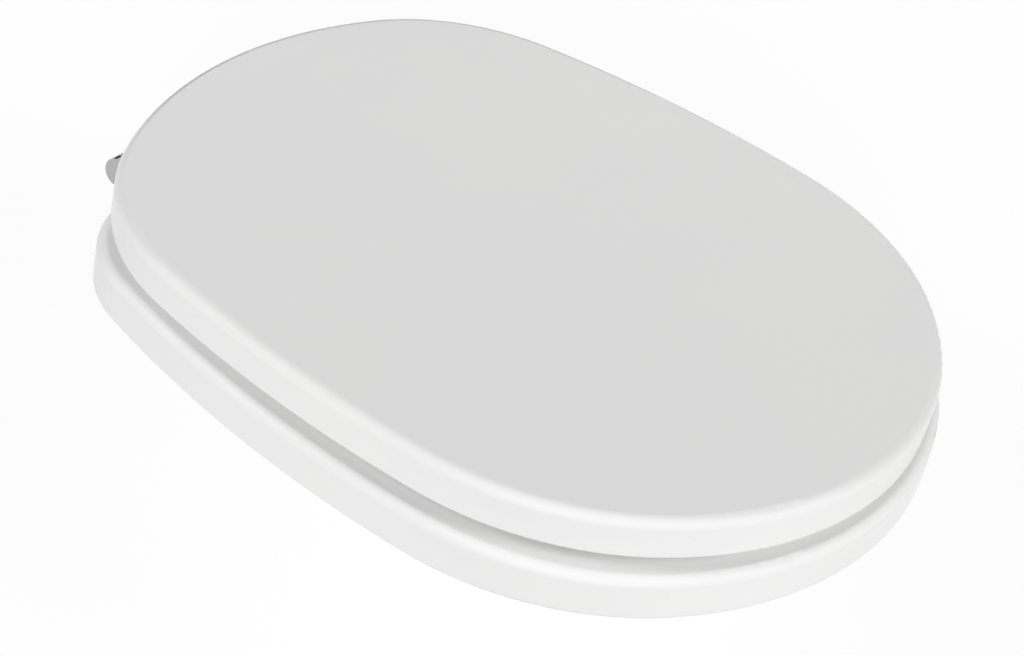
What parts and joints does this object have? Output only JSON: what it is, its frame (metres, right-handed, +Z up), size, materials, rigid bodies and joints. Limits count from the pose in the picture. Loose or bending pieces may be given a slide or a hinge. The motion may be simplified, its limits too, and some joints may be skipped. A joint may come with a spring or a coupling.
{
  "type": "toilet seat",
  "caption": "Closed slab toilet seat: a thick white lacquered lid over an oval ring, on two chrome barrel hinges with studs and wing nuts that clamp it to a bowl.",
  "frame": {"origin": "midway between the two fixing studs, on the plane of the bowl's rim", "axes": "-Y towards the front of the seat, +X to the right seen from the front, +Z up"},
  "size_m": [0.37, 0.4363, 0.1272],
  "materials": {
    "lid_lacquer": "gloss",
    "ring_lacquer": "gloss",
    "hinge_chrome": "polished",
    "fixing_steel": "satin",
    "buffer_plastic": "satin",
    "fixing_plastic": "satin",
    "gasket_rubber": "matte"
  },
  "bodies": {
    "base": {"hinge_post_left": "hinge_chrome", "hinge_pin_left": "fixing_steel", "fixing_stud_left": "fixing_steel", "base_gasket_left": "gasket_rubber", "clamp_washer_left": "fixing_plastic", "wing_nut_left": "fixing_plastic", "hinge_post_right": "hinge_chrome", "hinge_pin_right": "fixing_steel", "fixing_stud_right": "fixing_steel", "base_gasket_right": "gasket_rubber", "clamp_washer_right": "fixing_plastic", "wing_nut_right": "fixing_plastic"},
    "seat": {"seat_ring": "ring_lacquer", "ring_leaf_left": "hinge_chrome", "ring_leaf_right": "hinge_chrome", "ring_leaf_screws": "fixing_steel", "seat_buffer_screws": "fixing_steel", "seat_buffer_front_left": "buffer_plastic", "seat_buffer_front_right": "buffer_plastic", "seat_buffer_rear_left": "buffer_plastic", "seat_buffer_rear_right": "buffer_plastic"},
    "cover": {"lid": "lid_lacquer", "lid_leaf_left": "hinge_chrome", "lid_leaf_right": "hinge_chrome", "lid_leaf_screws": "fixing_steel", "lid_buffer_screws": "fixing_steel", "lid_buffer_left": "buffer_plastic", "lid_buffer_right": "buffer_plastic"}
  },
  "joints": [
    {"name": "ring_hinge", "type": "hinge", "parent": "base", "child": "seat", "pos_m": [0, 0.0162, 0.0306], "axis": [-1, 0, 0], "range_deg": [0, 95]},
    {"name": "lid_hinge", "type": "hinge", "parent": "seat", "child": "cover", "pos_m": [0, 0.0162, 0.0306], "axis": [-1, 0, 0], "range_deg": [0, 100]}
  ]
}
